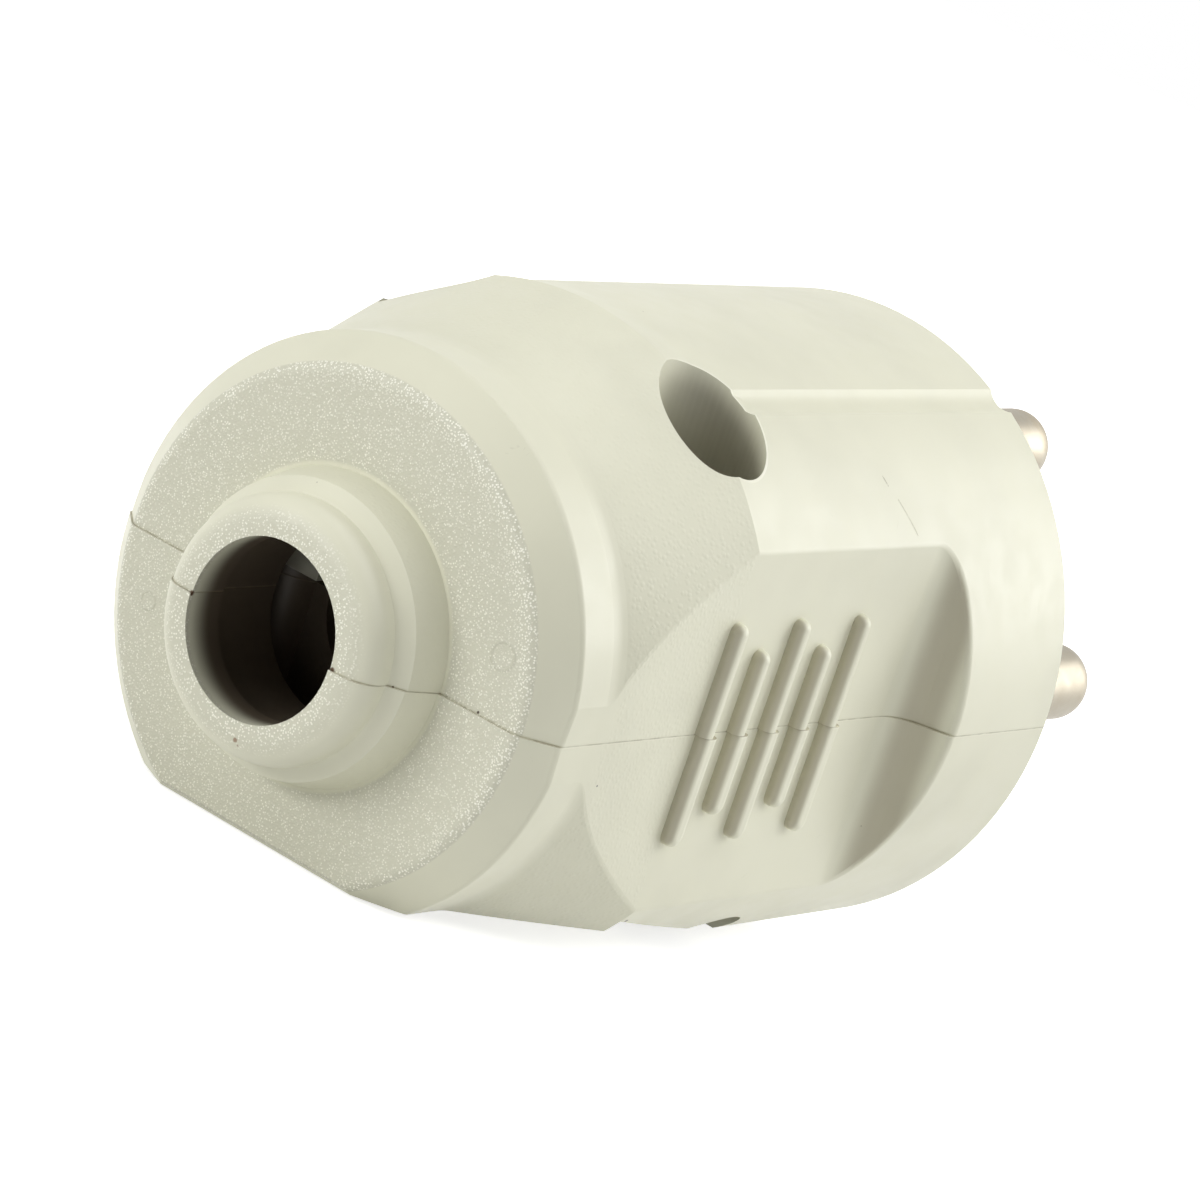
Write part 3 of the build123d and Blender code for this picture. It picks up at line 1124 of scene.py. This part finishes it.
@dataclass
class Camera:
    """The camera, close to the table and turned about its own axis."""

    place: Point = (-262.439, -152.665, 76.427)
    target: Point = (-20.281, 0.362, 0.437)
    roll: float = 18.685
    focal_pixels: float = 5158.0
    frame_pixels: float = 1200.0
    sensor: float = 36.0
    clip: Span = (0.01, 20.0)

    def build(self) -> None:
        """Makes the camera and sets it as the scene's own."""
        data = bpy.data.cameras.new("studio_camera")
        data.sensor_width = self.sensor
        data.lens = self.focal_pixels / self.frame_pixels * self.sensor
        data.clip_start, data.clip_end = self.clip
        camera = bpy.data.objects.new("studio_camera", data)
        bpy.context.scene.collection.objects.link(camera)
        place = Vector(self.place)
        aim = (Vector(self.target) - place).to_track_quat("-Z", "Y").to_matrix().to_4x4()
        turn = Matrix.Rotation(math.radians(self.roll), 4, "Z")
        upright = Matrix.Rotation(-LIE, 4, "Y") @ aim @ turn
        camera.matrix_world = Matrix.Translation(TO_ROW @ place) @ upright
        bpy.context.scene.camera = camera


@dataclass
class Lamp:
    """One soft rectangular lamp that looks at the plug."""

    name: str
    place: Point
    size: Span
    power: float

    def build(self, target: Vector) -> None:
        """Hangs the lamp and turns it to its target.

        Args:
            target: Point that the lamp looks at, in metres.
        """
        data = bpy.data.lights.new(self.name, "AREA")
        data.shape = "RECTANGLE"
        data.size, data.size_y = self.size
        data.energy = self.power
        lamp = bpy.data.objects.new(self.name, data)
        place = Vector(self.place)
        aim = (target - place).to_track_quat("-Z", "Y").to_matrix().to_4x4()
        lamp.matrix_world = Matrix.Translation(place) @ aim
        bpy.context.scene.collection.objects.link(lamp)


@dataclass
class Studio:
    """White table top, soft lamps, white surroundings and camera."""

    table_reach: float = 6.0
    table_grey: float = 0.8
    table_glow: float = 0.02
    table_shown: float = 0.7
    table_fade: Span = (0.15, 0.6)
    air_strength: float = 0.03
    lamp_target: Point = (-0.02, 0.0, 0.0)
    lamps: tuple[Lamp, ...] = (
        Lamp("overhead", (0.0, 0.0, 0.9), (0.8, 0.8), 3.5),
        Lamp("top_right", (-0.1, -0.6, 0.7), (0.6, 0.6), 2.1),
        Lamp("front_right_high", (0.65, -0.5, 0.5), (0.6, 0.6), 5.0),
        Lamp("front_right_low", (0.75, -0.5, 0.15), (0.5, 0.25), 0.8),
        Lamp("rear_left_high", (-0.7, 0.5, 0.5), (0.6, 0.6), 1.8),
        Lamp("rear_left_low", (-0.8, 0.4, 0.15), (0.5, 0.25), 3.4),
    )

    def seen(self, bench: Bench) -> Socket:
        """Gives 1 to the camera and in reflections and glass, and 0 to the light on the plug.

        Args:
            bench: Bench of the tree.

        Returns:
            The share.
        """
        path = bench.put("ShaderNodeLightPath")
        kinds = ("Is Camera Ray", "Is Glossy Ray", "Is Transmission Ray")
        return bench.most(*(path.outputs[kind] for kind in kinds))

    def table(self) -> None:
        """Lays the table top."""
        mesh = bpy.data.meshes.new("table_top")
        shape = bmesh.new()
        bmesh.ops.create_grid(shape, x_segments=1, y_segments=1, size=self.table_reach)
        bmesh.ops.translate(shape, verts=shape.verts, vec=(0, 0, cad_box[0].z))
        shape.to_mesh(mesh)
        shape.free()
        top = bpy.data.objects.new("table_top", mesh)
        bpy.context.scene.collection.objects.link(top)
        material = bpy.data.materials.new("table_white")
        material.use_nodes = True
        bench = Bench(material.node_tree)
        shader = material.node_tree.nodes["Principled BSDF"]
        shader.inputs["Base Color"].default_value = (*[self.table_grey] * 3, 1.0)
        shader.inputs["Roughness"].default_value = 0.9
        shader.inputs["Specular IOR Level"].default_value = 0.0
        place = bench.put("ShaderNodeTexCoord").outputs["Object"]
        away = bench.vector("LENGTH", place).outputs["Value"]
        shown = bench.slope(away, *self.table_fade, self.table_shown, 1.0)
        glow = bench.math("MULTIPLY_ADD", self.seen(bench), shown, self.table_glow)
        shader.inputs["Emission Color"].default_value = WHITE
        bench.feed(shader.inputs["Emission Strength"], glow)
        mesh.materials.append(material)

    def air(self) -> None:
        """Sets the surroundings, white to the eye and softer as a light."""
        world = bpy.data.worlds.new("studio_air")
        world.use_nodes = True
        bench = Bench(world.node_tree)
        lit = world.node_tree.nodes["Background"]
        lit.inputs["Strength"].default_value = self.air_strength
        white = bench.put("ShaderNodeBackground")
        for shader in (lit, white):
            shader.inputs["Color"].default_value = WHITE
        both = bench.put("ShaderNodeMixShader")
        for number, value in enumerate((self.seen(bench), lit.outputs[0], white.outputs[0])):
            bench.feed(both.inputs[number], value)
        out = world.node_tree.nodes["World Output"]
        bench.feed(out.inputs["Surface"], both.outputs[0])
        bpy.context.scene.world = world

    def build(self) -> None:
        """Sets up the table, the lamps, the surroundings and the camera."""
        bpy.context.scene.view_settings.view_transform = "Standard"
        self.table()
        self.air()
        for lamp in self.lamps:
            lamp.build(Vector(self.lamp_target))
        Camera().build()
        log.info("studio: %d lamps", len(self.lamps))


def main() -> None:
    """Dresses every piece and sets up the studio."""
    logging.basicConfig(level=logging.INFO, format="%(message)s")
    patterns = Patterns()
    for piece in (Casing(), CordClamp(), Metalwork()):
        piece.dress(patterns)
    Studio().build()


if __name__ == "__main__":
    main()
